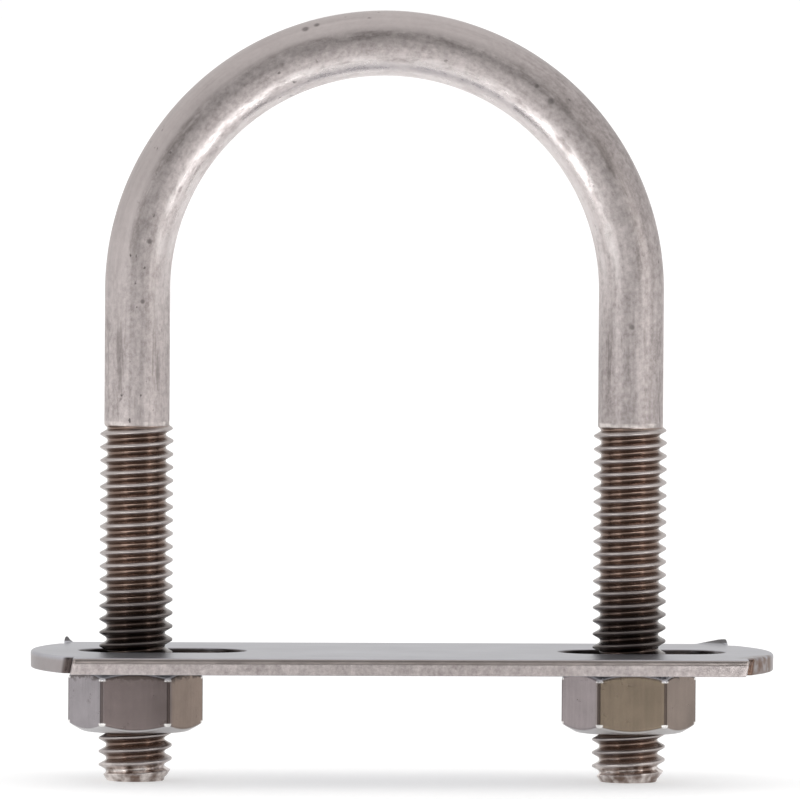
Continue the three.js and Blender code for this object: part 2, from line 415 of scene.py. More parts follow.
def bolt_tree():
    tree, size = new_group("bent rod with rolled threads", BOLT_SIZES)
    leg = threaded_leg(tree, size)
    offsets = [tree.vector(sign * size["Bow radius"], 0, 0) for sign in (-1, 1)]
    legs = [tree.add("GeometryNodeTransform", values={"Geometry": leg, "Translation": o}) for o in offsets]
    skin = tree.add("GeometryNodeJoinGeometry", values=[[*legs, bent_shank(tree, size)]])
    skin = tree.add("GeometryNodeMergeByDistance", values={"Geometry": skin, "Distance": WELD})

    place, outwards, across = straight_bar(tree, size)
    store = {"data_type": "FLOAT_VECTOR", "domain": "POINT"}
    values = {"Geometry": skin, "Name": "bar", "Value": place}
    skin = tree.add("GeometryNodeStoreNamedAttribute", store, values)
    radius = (outwards * outwards + across * across).power(0.5)
    height = (radius - size["Root radius"]) / (size["Crest radius"] - size["Root radius"])
    store = {"data_type": "FLOAT", "domain": "POINT"}
    values = {"Geometry": skin, "Name": "thread height", "Value": height}
    skin = tree.add("GeometryNodeStoreNamedAttribute", store, values)

    # Rolling leaves the crests a little uneven, and handling has dented them.
    spot = tree.add("GeometryNodeInputPosition")
    uneven = tree.noise(spot, 650, detail=3, seed=size["Seed"]) - 0.5
    nicks = tree.noise(spot, 800, detail=2, seed=size["Seed"] + 9).ramp(0.6, 0.78)
    z = spot.parts()[2]
    in_thread = 1 - z.ramp(size["Thread top"] - 0.3 * MM, size["Thread top"])
    at_end = 1 - z.ramp(size["Leg end"] + 0.2 * MM, size["Leg end"] + 1.4 * MM)
    crests = height.ramp(0.6, 1)
    swell = uneven * (in_thread.to(0.35, 1) + at_end * 1.6) - nicks * crests * in_thread * 0.8
    normal = tree.add("GeometryNodeInputNormal")
    settings = {"operation": "SCALE"}
    push = tree.add("ShaderNodeVectorMath", settings, {"Vector": normal, "Scale": swell * size["Wear"]})
    skin = tree.add("GeometryNodeSetPosition", values={"Geometry": skin, "Offset": push})
    finish_group(tree, skin, size["Material"])
    return tree.tree


# ---- The nuts -----------------------------------------------------------------------------------------

NUT_SIZES = {
    "Axis": BOW_RADIUS,
    "Turned": 0.0,
    "Bottom": NUT_LOW,
    "Top": NUT_HIGH,
    "Flat": NUT_FLAT,
    "Corner": 0.3 * MM,
    "Face radius": 5.65 * MM,
    "Edge": 0.26 * MM,
    "Mouth": 4.45 * MM,
    "Pitch": PITCH,
    "Crest radius": CREST_RADIUS,
    "Root radius": ROOT_RADIUS,
    "Crest flat": CREST_FLAT,
    "Crest turn": CREST_TURN,
    "Clearance": NUT_CLEARANCE,
    "Rows per turn": 12,
    "Sides": 192,
}
CHAMFER = math.radians(30)  # from an end face
CORNER_CROWDING = 0.45  # how far the columns of a nut's mesh crowd towards its corners
SIDE_ROWS = 14
FACE_ROWS = 5
CHAMFER_ROWS = 4
SIDE_EDGE_ROWS = 5


def crowded(around):
    """Moves columns that are evenly spread round a hexagon towards its corners."""
    side = (around * 6).floor()
    place = (around * 6).fract() - 0.5
    moved = place * (1 + CORNER_CROWDING) - place * place * place * (4 * CORNER_CROWDING)
    return (side + moved + 0.5) / 6


def hexagon_radius(size, turn):
    """The radius of a hexagon with rounded corners. turn 0 is at a corner, and a sixth is the next."""
    angle = ((turn * 6).fract() - 0.5) * (TURN / 6)
    flat = size["Flat"] / angle.cos()
    centre = (size["Flat"] - size["Corner"]) / math.cos(math.pi / 6)
    past = math.pi / 6 - angle.abs()
    sideways = centre * past.sin()
    reach = (size["Corner"] * size["Corner"] - sideways * sideways).at_least(0).power(0.5)
    rounded = centre * past.cos() + reach
    on_corner = (flat * angle.abs().sin()).above(centre * math.sin(math.pi / 6))
    return flat + on_corner * (rounded - flat)


def ring_band(tree, size, rings, rows):
    """The surface between two rings, or round the corner that a middle ring makes. A ring is what gives
    the radius and height at a turn, and rows crowd towards both ends."""
    grid, along, around = sheet_of_rows(tree, rows, size["Sides"])
    share = (1 - (along * math.pi).cos()) / 2
    turn = crowded(around)
    ends = [ring(turn) for ring in rings]
    if len(ends) == 2:
        weights = [1 - share, share]
    else:
        weights = [(1 - along) * (1 - along), 2 * along * (1 - along), along * along]
    radius = sum(weight * end[0] for weight, end in zip(weights, ends))
    height = sum(weight * end[1] for weight, end in zip(weights, ends))
    return standing(tree, size, grid, turn, radius, height)


def standing(tree, size, grid, turn, radius, height):
    """Puts a grid round the nut's axis. Half a flat is turned to face the front."""
    angle = turn * TURN + size["Turned"]
    return placed(tree, grid, size["Axis"] + radius * angle.cos(), radius * angle.sin(), height)


def end_rings(size, up):
    """The rings of the section from the bore's mouth to the flats, at the upper or lower end."""
    middle = (size["Top"] + size["Bottom"]) / 2
    half = (size["Top"] - size["Bottom"]) / 2
    edge = size["Edge"]
    face = size["Face radius"]
    run, fall = edge * math.cos(CHAMFER), edge * math.sin(CHAMFER)

    def at(radius, drop):
        return lambda turn: (radius(turn), middle + up * (half - drop(turn)))

    def side(turn):
        return hexagon_radius(size, turn)

    def shoulder(turn):
        return (side(turn) - face) * math.tan(CHAMFER)

    def level(turn):
        return 0

    return [
        at(lambda turn: size["Mouth"], level),
        at(lambda turn: face - edge, level),
        at(lambda turn: face, level),
        at(lambda turn: face + run, lambda turn: fall),
        at(lambda turn: side(turn) - run, lambda turn: shoulder(turn) - fall),
        at(side, shoulder),
        at(side, lambda turn: shoulder(turn) + edge),
    ]


def tapped_bore(tree, size):
    """The thread inside the nut, opened by a cone at each end."""
    grid, height, turn, turns_up = thread_rows(tree, size, size["Bottom"], size["Top"], crowded)
    shift = size["Turned"] / TURN
    thread = thread_radius(size, turns_up - shift, size["Clearance"])
    upper = size["Mouth"] - (size["Top"] - height)
    lower = size["Mouth"] - (height - size["Bottom"])
    radius = thread.at_least(upper).at_least(lower)
    return standing(tree, size, grid, turn, radius, height)


def nut_tree():
    tree, size = new_group("hex nut", NUT_SIZES)
    upper, lower = end_rings(size, 1), end_rings(size, -1)
    skins = [ring_band(tree, size, [upper[-1], lower[-1]], SIDE_ROWS), tapped_bore(tree, size)]
    for rings in (upper, lower):
        skins.append(ring_band(tree, size, rings[0:2], FACE_ROWS))
        skins.append(ring_band(tree, size, rings[1:4], CHAMFER_ROWS))
        skins.append(ring_band(tree, size, rings[3:5], CHAMFER_ROWS))
        skins.append(ring_band(tree, size, rings[4:7], SIDE_EDGE_ROWS))
    skin = tree.add("GeometryNodeJoinGeometry", values=[skins])
    finish_group(tree, skin, size["Material"])
    return tree.tree


# ---- The plate ----------------------------------------------------------------------------------------

CORNER_RADIUS = 0.36 * MM
CORNER_STEPS = 6
ROLLOVER_STEPS = 6
EDGE_STEP = 0.3 * MM  # between the points of the outline
SHOULDER_STEP = 0.15 * MM
RELIEF_STEP = 0.1 * MM
ROLLOVER = 0.3 * MM
FLAT_MARGIN = 0.05 * MM
CUT_DEPTH = 0.5 * MM  # below the upper face, the end of the cleanly cut band
ROUGH_ZONE = (0.62 * MM, 1.66 * MM)  # below the upper face, where the sheet tore instead of being cut
ROUGH_ROWS = 7
TORN_ROUGHNESS = 0.035 * MM
CUT_ROUGHNESS = 0.008 * MM
TEAR_SIZE = 0.42 * MM
STRAIGHT_SIDE = 13.7 * MM  # further out than this along Y, the edge belongs to a long side

INSIDE_ONLY = 1  # the triangulation keeps to the inside of the outline
SAME_POINT = 1e-6  # in millimetres, for the triangulation

BURRS = [  # where the press tore a corner up: place, reach towards -X, towards +X and along Y, height
    (Vector((-33.45, 14.1)) * MM, 0.7 * MM, 0.6 * MM, 0.8 * MM, 0.6 * MM),
    (Vector((37.65, 14.15)) * MM, 3.2 * MM, 0.5 * MM, 0.8 * MM, 0.52 * MM),
]
BURR_DEPTH = 1.2 * MM  # how far down the wall the metal of a torn corner is pulled
NOTCH_LEAN = 0.2  # how far the front shoulders lean towards -X, for each millimetre down
NOTCH_SHIFT = 0.42 * MM  # and how far they stand off towards +X at the upper face
NOTCH_DEPTH = 1.2 * MM  # from the long side to the middle of the leaning part
NOTCH_REACH = 3.04 * MM  # from there to where the edge stands upright again


def arc(centre, radius, start, end, step):
    """Points on an arc, its ends included."""
    count = max(2, math.ceil(abs(end - start) * radius / step))
    angles = [start + (end - start) * i / count for i in range(count + 1)]
    return [centre + radius * Vector((math.cos(angle), math.sin(angle))) for angle in angles]


def straight(start, end, step):
    """Points on a straight line, its ends included."""
    count = max(1, math.ceil((end - start).length / step))
    return [start.lerp(end, i / count) for i in range(count + 1)]


def rounded_corner(before, corner, after, radius):
    """Points round a corner whose two sides stand square to each other."""
    incoming, outgoing = (before - corner).normalized(), (after - corner).normalized()
    centre = corner + (incoming + outgoing) * radius
    start, end = -outgoing, -incoming
    turns = [i / CORNER_STEPS * math.pi / 2 for i in range(CORNER_STEPS + 1)]
    return [centre + radius * (start * math.cos(turn) + end * math.sin(turn)) for turn in turns]


def relief_centre():
    """The centre of the small relief, on the arc of the rounded end, where the shoulder meets it."""
    x = PLATE_LENGTH / 2 - SHOULDER_SETBACK + RELIEF_RADIUS
    return Vector((x, math.sqrt(END_RADIUS**2 - (x - PLATE_LENGTH / 2 + END_RADIUS) ** 2)))


def end_quarter():
    """A quarter of the outline for +X and +Y, from the middle of the long side to the tip of the end."""
    tip = PLATE_LENGTH / 2
    side = PLATE_WIDTH / 2
    arc_centre = Vector((tip - END_RADIUS, 0))
    shoulder = Vector((tip - SHOULDER_SETBACK, side))
    relief = relief_centre()
    radial = (relief - arc_centre).normalized()
    relief_end = relief + RELIEF_RADIUS * Vector((radial.y, -radial.x))
    relief_start = math.pi
    relief_stop = TURN + math.atan2(-radial.x, radial.y)
    start_angle = math.atan2(relief_end.y, relief_end.x - arc_centre.x)
    lobe = arc(arc_centre, END_RADIUS, start_angle, 0, EDGE_STEP)
    notch = arc(relief, RELIEF_RADIUS, relief_start, relief_stop, RELIEF_STEP)
    gap = CORNER_RADIUS
    inside = shoulder - Vector((0, 1)) * gap
    return [
        *straight(Vector((0, side)), shoulder - Vector((gap, 0)), EDGE_STEP)[:-1],
        *rounded_corner(shoulder - Vector((1, 0)), shoulder, inside, gap),
        *straight(inside, notch[0], SHOULDER_STEP)[1:-1],
        *[point for point in notch if (point - notch[-1]).length > gap],
        *rounded_corner(notch[-3], notch[-1], lobe[2], gap),
        *[point for point in lobe if (point - notch[-1]).length > gap * 1.2],
    ]


def plate_outline():
    """The plate's outer edge, clockwise from above, with the origin in its middle."""
    quarter = end_quarter()
    right = quarter + [Vector((point.x, -point.y)) for point in reversed(quarter[:-1])]
    left = [-point for point in right]
    return right[:-1] + left[:-1]


def slot_outline(middle):
    """The edge of a slot, anticlockwise from above, so that the metal is on the same hand as outside."""
    reach = Vector((SLOT_TRAVEL / 2, 0))
    centre = Vector((middle, 0))
    right = arc(centre + reach, SLOT_HALF_WIDTH, -math.pi / 2, math.pi / 2, EDGE_STEP)
    left = arc(centre - reach, SLOT_HALF_WIDTH, math.pi / 2, 3 * math.pi / 2, EDGE_STEP)
    return [
        *right[:-1],
        *straight(right[-1], left[0], EDGE_STEP)[:-1],
        *left[:-1],
        *straight(left[-1], right[0], EDGE_STEP)[:-1],
    ]


def edge_section():
    """The sheared edge, as (inset, drop) from the upper face to the lower one: a rolled-over edge, a
    short cut band, the torn zone and a faint burr."""
    thickness = PLATE_TOP - PLATE_BOTTOM
    turns = [i / ROLLOVER_STEPS * math.pi / 2 for i in range(ROLLOVER_STEPS + 1)]
    rollover = [(ROLLOVER * (1 - math.sin(turn)), ROLLOVER * (1 - math.cos(turn))) for turn in turns]
    rough_top, rough_end = ROUGH_ZONE
    rough = [
        (0.01 * MM, rough_top + (rough_end - rough_top) * i / ROUGH_ROWS) for i in range(ROUGH_ROWS + 1)
    ]
    burr = [(0.03 * MM, thickness - 0.05 * MM), (0.08 * MM, thickness), (0.2 * MM, thickness)]
    return [(ROLLOVER + FLAT_MARGIN, 0), *rollover, (0, CUT_DEPTH), *rough, *burr]


def burr_lift(point, drop):
    """How far a torn corner stands up from the upper face."""
    lift = 0
    for place, left, right, across, height in BURRS:
        away = point - place
        reach = left if away.x < 0 else right
        near = max(0, 1 - math.hypot(away.x / reach, away.y / across))
        lift += height * min(1, 1.25 * near) * max(0, 1 - drop / BURR_DEPTH)
    return lift


def leaning(point, drop):
    """How far the front shoulders, which the press cut aslant, stand off towards -X."""
    shoulder = Vector((PLATE_LENGTH / 2 - SHOULDER_SETBACK, PLATE_WIDTH / 2 - NOTCH_DEPTH))
    away = (Vector((abs(point.x), -point.y)) - shoulder).length
    return (NOTCH_LEAN * drop - NOTCH_SHIFT) * min(1, max(0, 2.5 * (1 - away / NOTCH_REACH)))


def walled_edge(mesh, outline, section):
    """Adds the wall that follows the outline, and returns its first and last row of vertices."""
    count = len(outline)
    rows = []
    for inset, drop in section:
        row = []
        for i, point in enumerate(outline):
            along = (outline[(i + 1) % count] - outline[i - 1]).normalized()
            inwards = Vector((along.y, -along.x))
            torn = ROUGH_ZONE[0] <= drop <= ROUGH_ZONE[1] and abs(point.y) > STRAIGHT_SIDE
            spot = Vector((point.x, point.y, drop)) / TEAR_SIZE
            on_face = drop in (section[0][1], section[-1][1])
            roughness = 0 if on_face else TORN_ROUGHNESS if torn else CUT_ROUGHNESS
            rough = roughness * noise.noise(spot)
            flat = point + inwards * (inset + rough)
            place = flat + Vector((PLATE_MIDDLE - leaning(point, drop), 0))
            height = PLATE_TOP - drop + burr_lift(place, drop)
            row.append(mesh.verts.new((place.x, place.y, height)))
        rows.append(row)
    for upper, lower in zip(rows, rows[1:]):
        for i in range(count):
            j = (i + 1) % count
            mesh.faces.new((upper[i], upper[j], lower[j], lower[i]))
    return rows[0], rows[-1]


def closed_face(mesh, outer, slots):
    """Fills the flat face between the outer row of vertices and the rows round the slots."""
    loops = [outer, *slots]
    verts = [vert for loop in loops for vert in loop]
    edges, start = [], 0
    for loop in loops:
        edges += [(start + i, start + (i + 1) % len(loop)) for i in range(len(loop))]
        start += len(loop)
    points = [Vector(vert.co.xy) / MM for vert in verts]
    found = delaunay_2d_cdt(points, edges, [], INSIDE_ONLY, SAME_POINT)
    triangles, first_sources = found[2], [sources[0] for sources in found[3]]
    openings = [set(slot) for slot in slots]
    for triangle in triangles:
        corners = [verts[first_sources[i]] for i in triangle]
        if not any(opening.issuperset(corners) for opening in openings):
            mesh.faces.new(corners)


def plate_mesh():
    mesh = bmesh.new()
    section = edge_section()
    outer = walled_edge(mesh, plate_outline(), section)
    slots = []
    for side in (-1, 1):
        outline = slot_outline(side * SLOT_SPACING / 2)
        slots.append(walled_edge(mesh, outline, section))
    for level in (0, 1):
        closed_face(mesh, outer[level], [slot[level] for slot in slots])
    for face in mesh.faces:
        face.smooth = True
    finished = bpy.data.meshes.new("clamp plate")
    mesh.to_mesh(finished)
    mesh.free()
    return finished


# ---- Finishes -----------------------------------------------------------------------------------------


def new_finish(name):
    """A material with an empty tree."""
    material = bpy.data.materials.new(name)
    material.use_nodes = True
    tree = Tree(material.node_tree)
    return material, tree


def steel(tree, colour, roughness, height, depth, edge=1.0):
    """Ends a material: a metal whose height in metres is turned into fine relief. edge below 1 makes it
    duller where it is seen aslant."""
    bump = tree.add("ShaderNodeBump", values={"Strength": 1.0, "Distance": depth, "Height": height})
    values = {"Base Color": colour, "Metallic": 1.0, "Roughness": roughness, "Normal": bump}
    shader = tree.add("ShaderNodeBsdfPrincipled", values={**values, "Specular Tint": (edge, edge, edge, 1)})
    tree.add("ShaderNodeOutputMaterial", values=[shader])


def stain_at(tree, place, centre, radius):
    """1 at the centre of a stain and 0 past its radius, both in millimetres."""
    settings = {"operation": "DISTANCE"}
    values = {0: place, 1: [value * MM for value in centre]}
    away = tree.add("ShaderNodeVectorMath", settings, values, output=1)
    return 1 - away.ramp(radius * 0.3 * MM, radius * MM)


MARKS = [  # dark dents in the bare rod: place and radius in millimetres
    ((-8.7, -2.0, 66.3), 0.55),
    ((-7.5, -1.9, 66.8), 0.45),
    ((17.4, -3.4, 58.8), 0.5),
    ((15.9, -3.3, 60.4), 0.35),
    ((26.2, -3.45, 34.8), 0.4),
    ((-25.9, -3.45, 37.3), 0.35),
    ((-25.2, -3.4, 43.7), 0.4),
]


# Colours of the rod, from its darkest painted shade and grime to its brightest painted highlight and bare
# metal
NEARLY_BLACK = (0.04, 0.031, 0.028)
PITTED = (0.05, 0.042, 0.04)
GREASY = (0.12, 0.085, 0.068)
SMEARED = (0.12, 0.10, 0.092)
STAINED = (0.16, 0.138, 0.133)
SCUFFED = (0.17, 0.147, 0.142)
THREAD_ROOT = (0.20, 0.143, 0.118)
DULL_STEEL = (0.25, 0.22, 0.215)
THREAD_CREST = (0.43, 0.392, 0.38)
CLEAN_STEEL = (0.60, 0.545, 0.537)
BURNISHED = (0.70, 0.66, 0.65)
PALE_STEEL = (0.80, 0.75, 0.74)
WORN_TIP = (0.80, 0.74, 0.71)
BRIGHT_COLLAR = (0.84, 0.79, 0.76)


def rolled_thread_colour(tree, place, crest, shiny):
    """Thread roots painted darker as painted shade, paler crests, painted near-black shade by the plate, and
    a tip paler from wear and a painted highlight.
    """
    z = place.parts()[2]
    grime = tree.noise(place, 420, detail=5, seed=8)
    # The thread roots are painted darker than the crests, as painted shade in the recesses.
    colour = tree.blend(crest, THREAD_ROOT, THREAD_CREST)
    colour = tree.blend((grime - 0.45) * 1.3, colour, GREASY)
    # Painted shade: the thread turns nearly black just above and by the plate.
    near_plate = (1 - z.ramp(1 * MM, 10 * MM)) * z.ramp(-3 * MM, -1 * MM)
    colour = tree.blend(near_plate * 0.8, colour, NEARLY_BLACK)
    # Paler tip: worn metal, with a painted highlight in patches.
    at_tip = (1 - z.ramp(LEG_END + 1.2 * MM, LEG_END + 3.0 * MM)) * shiny
    return tree.blend(at_tip * 0.95, colour, WORN_TIP)


def drawn_rod_finish():
    """Drawn and pickled bar: fine streaks along it, cloudy stains and pits, painted shade in the thread
    roots, and painted highlights and a painted dark reflection on the bow.
    """
    material, tree = new_finish("drawn rod")
    settings = {"attribute_name": "bar", "attribute_type": "GEOMETRY"}
    bar = tree.add("ShaderNodeAttribute", settings, output=1)
    out, across, run = bar.parts()
    outwards = out / ROD_RADIUS  # 1 on the outer line of the bow
    inwards = -out / ROD_RADIUS  # 1 on its inner line
    settings = {"attribute_name": "thread height", "attribute_type": "GEOMETRY"}
    thread_height = tree.add("ShaderNodeAttribute", settings, output=2)
    place = tree.add("ShaderNodeTexCoord", output=3)
    x, _, z = place.parts()

    def drawn(shrink, *sizes, **looks):
        """Noise that is drawn out along the bar: the smaller shrink is, the longer its marks are."""
        return tree.noise(tree.vector(out, across, run * shrink), *sizes, **looks)

    in_bow = z.ramp(BOW_CENTRE - 9 * MM, BOW_CENTRE + 10 * MM)
    outer = outwards.ramp(0.3, 0.5) * in_bow
    streaks = drawn(0.03, 1700, detail=3, seed=1)
    mottle = drawn(0.6, 900, detail=5, roughness=0.7, seed=2)
    clouds = drawn(0.7, 130, detail=4, seed=3)
    scuffs = drawn(0.1, 900, detail=5, roughness=0.65, seed=4)
    scuffs = scuffs.ramp(0.52, 0.66) * (1 - in_bow * 0.75)
    speckle = drawn(0.8, 2100, detail=4, roughness=0.7, seed=9)
    stains = drawn(0.6, 300, detail=8, roughness=0.8, seed=5)
    stains = stains.ramp(0.53, 0.68) * (1 - outer * 0.8)
    pits = drawn(0.6, 1500, detail=2, seed=6).ramp(0.66, 0.74)
    pits = pits * tree.noise(bar, 170, detail=2, seed=7).ramp(0.42, 0.58)
    # Dark smears, laid along the line where the bow shows a dark reflection, so they also paint that
    # reflection.
    smears = drawn(0.25, 420, detail=6, roughness=0.7, seed=10)
    on_line = (1 - (outwards - 0.3).abs().ramp(0.04, 0.24)) * in_bow
    smears = smears.ramp(0.47, 0.62) * on_line

    grain = (mottle - 0.5) * 1.1 + (speckle - 0.5) * 1.5
    weathered = x.ramp(6 * MM, 24 * MM)  # the right-hand half is a little darker and more worn
    smooth = outer * weathered.to(0.8, 0.1)
    shade = in_bow.to(0.48, 0.55) + (streaks - 0.5) * (in_bow.to(0.95, 0.6) - smooth * 0.4)
    shade = shade + (clouds - 0.5) * 0.5 + grain * (1 - smooth) - outer * weathered * 0.24
    shade = shade + (1 - in_bow) * (1 - x.ramp(-8 * MM, 8 * MM)) * 0.18  # the left leg is paler
    # Painted highlight: the inner side of the bow is made paler, against the dark reflection of the plate.
    shade = shade + inwards.ramp(0.45, 0.95) * in_bow * 0.45
    bare = tree.blend(shade, DULL_STEEL, CLEAN_STEEL)
    bare = tree.blend(scuffs * in_bow.to(0.6, 0.45), bare, SCUFFED)
    bare = tree.blend(stains * 0.42, bare, STAINED)
    bare = tree.blend(smears * 0.5, bare, SMEARED)
    marks = sum(stain_at(tree, place, centre, radius) for centre, radius in MARKS)
    marks = (marks * (speckle + mottle - 0.35)).at_most(1)
    bare = tree.blend(pits.at_least(marks) * 0.8, bare, PITTED)

    # Painted highlight: pale patches on the inside of the bow, with a lower roughness there too.
    inner = inwards.ramp(0.25, 0.5) * (1 - inwards.ramp(0.85, 1.0) * 0.5) * in_bow
    patches = drawn(0.3, 650, detail=6, roughness=0.72, seed=12)
    burnished = patches.ramp(0.40, 0.57) * inner
    bare = tree.blend(burnished * 0.6, bare, BURNISHED)

    # Painted highlight: the inner line of the bow is paler still, from its crown towards the right.
    rim = inwards.ramp(0.5, 0.66) * (1 - inwards.ramp(0.8, 0.95) * 0.6)
    rim = rim * z.ramp(BOW_CENTRE + 5 * MM, BOW_CENTRE + 18 * MM) * x.ramp(-18 * MM, 2 * MM)
    bare = tree.blend(rim * 0.6, bare, PALE_STEEL)

    crest = thread_height.ramp(0.25, 0.9)
    shiny = tree.noise(place, 640, detail=4, seed=13).ramp(0.36, 0.66)
    rolled = rolled_thread_colour(tree, place, crest, shiny)
    # Painted highlight: a pale ring in patches where the thread meets the shank.
    at_collar = 1 - (z - THREAD_TOP + 0.05 * MM).abs().ramp(0.12 * MM, 0.32 * MM)
    on_shank = z.ramp(THREAD_TOP - 0.4 * MM, THREAD_TOP - 0.1 * MM)
    colour = tree.blend(on_shank, rolled, bare)
    colour = tree.blend(at_collar * shiny * 0.8, colour, BRIGHT_COLLAR)

    rough = in_bow.to(0.56, 0.46) + (mottle - 0.5) * 0.3 + stains * 0.1 - burnished * 0.2
    roughness = rough + (1 - on_shank) * (crest.to(0.2, 0.36) - rough)
    relief = streaks * 0.3 + mottle * 0.7 + speckle * 0.35 - pits * on_shank
    steel(tree, colour, roughness, relief, 0.035 * MM)
    return material


RUST = [  # brown stains on the plate's edge: place and radius in millimetres
    ((39.0, -10.9, -1.0), 2.5),
    ((40.4, -8.0, -1.0), 2.8),
    ((41.1, -5.6, -0.9), 1.9),
    ((-35.7, -11.6, -1.2), 1.5),
]


def stamped_plate_finish():
    """Mill-finish sheet with a faint grain along it, and a sheared edge with its smooth and torn bands."""
    material, tree = new_finish("stamped plate")
    place = tree.add("ShaderNodeTexCoord", output=3)
    x, y, z = place.parts()
    grain = tree.noise(tree.vector(x * 0.03, y, z), 2600, detail=3, seed=11)
    clouds = tree.noise(place, 140, detail=5, seed=12)
    smudge = tree.noise(tree.vector(x * 0.6, y, z), 330, detail=6, roughness=0.68, seed=13)
    shade = 0.5 + (grain - 0.5) * 0.5 + (clouds - 0.5) * 0.9 + (smudge - 0.5) * 0.5
    sheet = tree.blend(shade, (0.35, 0.347, 0.375), (0.56, 0.56, 0.60))

    # The wall: a cut band over a torn one on the long sides, and a plainer skin on the rounded ends.
    drop = PLATE_TOP - z
    long_side = y.abs().ramp(STRAIGHT_SIDE - 0.2 * MM, STRAIGHT_SIDE)
    on_wall = drop.ramp(0.03 * MM, long_side.to(0.6 * MM, 0.14 * MM))
    on_wall = on_wall * (1 - drop.ramp(1.74 * MM, 1.8 * MM))
    torn = drop.ramp(0.5 * MM, 0.7 * MM) * on_wall * long_side
    specks = tree.noise(place, 3000, detail=4, roughness=0.7, seed=14)
    crumbs = tree.noise(tree.vector(x, y, z * 0.5), 1200, detail=3, seed=15)
    # The rolled edge and the cut band get a darker colour: a painted dark reflection.
    band = tree.blend(clouds, (0.24, 0.207, 0.195), (0.38, 0.34, 0.325))
    gritty = 0.5 + (specks - 0.5) * 1.3 + (crumbs - 0.5) * 1.2
    torn_steel = tree.blend(gritty, (0.29, 0.254, 0.25), (0.66, 0.605, 0.595))
    lobe = tree.blend(0.5 + (smudge - 0.5) * 1.3, (0.26, 0.23, 0.228), (0.41, 0.378, 0.382))
    wall = tree.blend(long_side, lobe, tree.blend(torn, band, torn_steel))
    colour = tree.blend(on_wall, sheet, wall)

    # Painted shade in the slots and the notches, a darker colour on the torn-up corners, then rust.
    middle = (x - PLATE_MIDDLE).abs()
    past = ((middle - SLOT_SPACING / 2).abs() - SLOT_TRAVEL / 2).at_least(0)
    from_slot = (past * past + y * y).power(0.5) - SLOT_HALF_WIDTH
    in_slot = (1 - from_slot.ramp(0.05 * MM, 0.3 * MM)) * drop.ramp(0.02 * MM, 0.12 * MM)
    patchy = tree.noise(place, 260, detail=3, seed=17).ramp(0.35, 0.6)
    colour = tree.blend(in_slot * patchy.to(0.6, 0.92), colour, (0.055, 0.043, 0.038))
    corner = relief_centre()
    upright = (x - PLATE_MIDDLE + (drop * NOTCH_LEAN - NOTCH_SHIFT) * y.above(0).to(1, 0)).abs()
    away = ((upright - corner.x).power(2) + (y.abs() - corner.y).power(2)).power(0.5)
    # Painted shade in the front notches.
    in_notch = (1 - away.ramp(0.5 * MM, 1.1 * MM)) * drop.ramp(0.02 * MM, 0.2 * MM)
    colour = tree.blend(in_notch * 0.92, colour, (0.055, 0.04, 0.036))
    colour = tree.blend((z - PLATE_TOP).ramp(0.02 * MM, 0.2 * MM) * 0.85, colour, (0.07, 0.064, 0.062))

    rust = sum(stain_at(tree, place, centre, radius) for centre, radius in RUST)
    ragged = tree.noise(place, 800, detail=5, seed=16).ramp(0.3, 0.6)
    colour = tree.blend((rust * ragged * 0.85).at_most(1), colour, (0.15, 0.088, 0.06))

    roughness = 0.33 + (smudge - 0.5) * 0.2 + torn * 0.27
    relief = grain * 0.2 + clouds * 0.3 + torn * (specks * 1.2 + crumbs * 1.8)
    steel(tree, colour, roughness, relief, 0.02 * MM, edge=0.75)
    return material


SIDE_SHARE = (3.4 * MM, 4.0 * MM)  # off the nut's middle, where its front face gives way to the next
WORN_EDGE = (7.08 * MM, 7.13 * MM)  # from the nut's axis, where its upright edges are painted dark as a painted reflection
WORN_POINT = (6.95 * MM, 7.03 * MM)  # and where the ends of those edges carry a painted highlight


